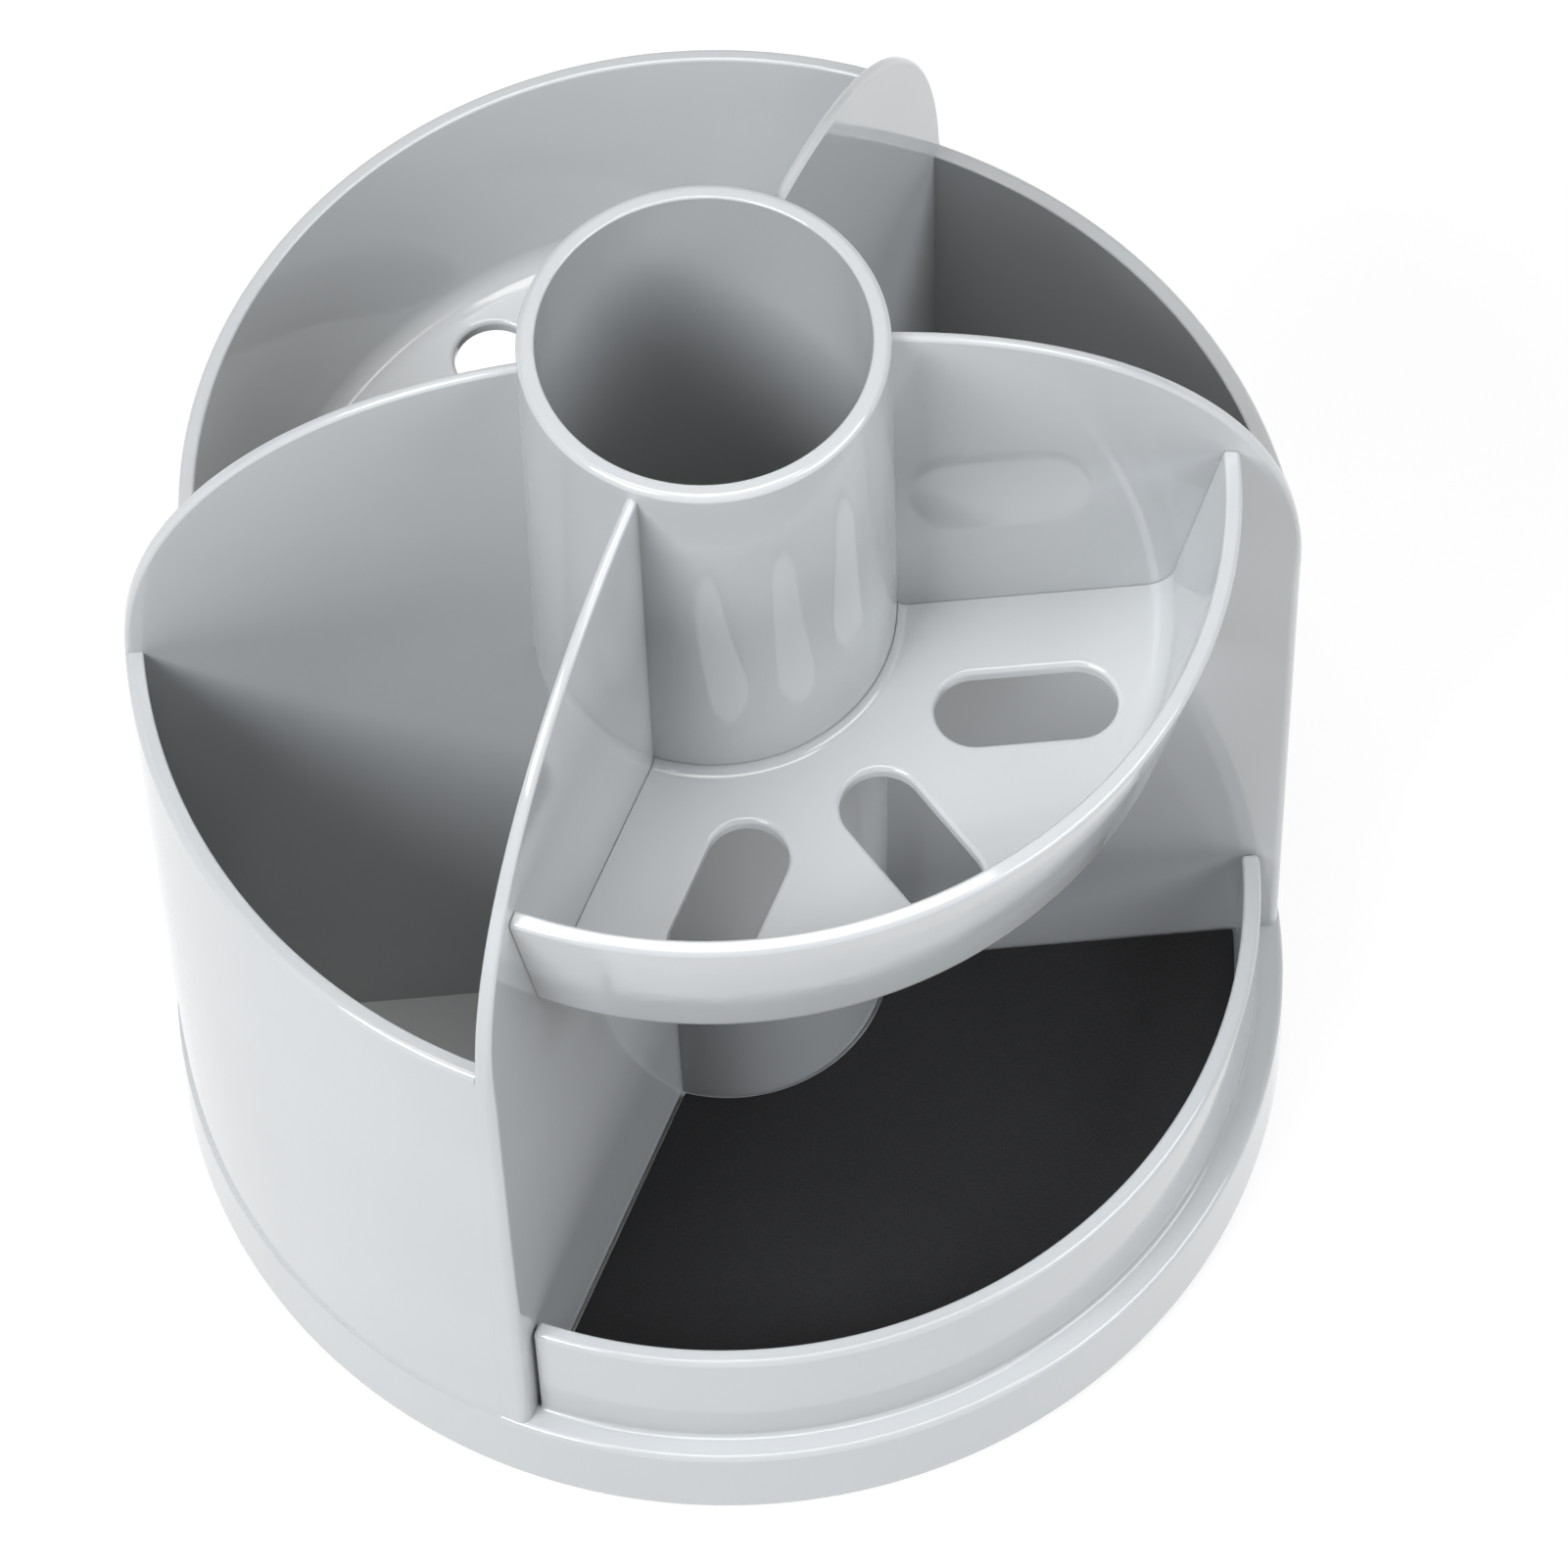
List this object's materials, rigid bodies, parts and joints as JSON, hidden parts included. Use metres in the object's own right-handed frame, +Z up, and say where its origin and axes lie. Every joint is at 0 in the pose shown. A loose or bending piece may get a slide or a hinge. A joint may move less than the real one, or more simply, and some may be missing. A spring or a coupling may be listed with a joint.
{
  "type": "pen holder",
  "caption": "Round revolving desk organiser: centre pen tube, crowned dividers, side compartments, and slotted upper trays over open bays with mats.",
  "frame": {"origin": "centre of the underside, on the plane that the rubber feet rest on", "axes": "+Z up along the tube and the turntable's axis, front bay towards -Y, side compartments towards -X and +X"},
  "size_m": [0.14, 0.14, 0.16],
  "materials": {
    "shell_plastic": "light cool grey, polished mould",
    "turntable_plastic": "natural white, fine satin",
    "mat_foam": "black closed-cell foam, matt",
    "foot_rubber": "black moulded rubber",
    "bearing_steel": "polished bearing steel",
    "screw_steel": "zinc-plated steel"
  },
  "bodies": {
    "foot": {"foot_plate": "turntable_plastic", "rubber_feet": "foot_rubber"},
    "ball_ring": {"ball_cage": "turntable_plastic", "bearing_balls": "bearing_steel"},
    "carousel": {"pivot_screw": "screw_steel", "pivot_washer": "screw_steel", "base_tray": "shell_plastic", "pen_tube": "shell_plastic", "divider_front_left": "shell_plastic", "divider_front_right": "shell_plastic", "divider_rear_left": "shell_plastic", "divider_rear_right": "shell_plastic", "side_wall_left": "shell_plastic", "side_wall_right": "shell_plastic", "front_tray": "shell_plastic", "rear_tray": "shell_plastic", "front_mat": "mat_foam", "rear_mat": "mat_foam"}
  },
  "joints": [
    {"name": "carousel_turn", "type": "hinge", "parent": "foot", "child": "carousel", "pos_m": [0, 0, 0.008], "axis": [0, 0, 1], "continuous": true},
    {"name": "ball_ring_turn", "type": "hinge", "parent": "foot", "child": "ball_ring", "pos_m": [0, 0, 0.008], "axis": [0, 0, 1], "continuous": true}
  ],
  "couplings": [
    {"joint": "ball_ring_turn", "follows": "carousel_turn", "ratio": 0.5}
  ]
}
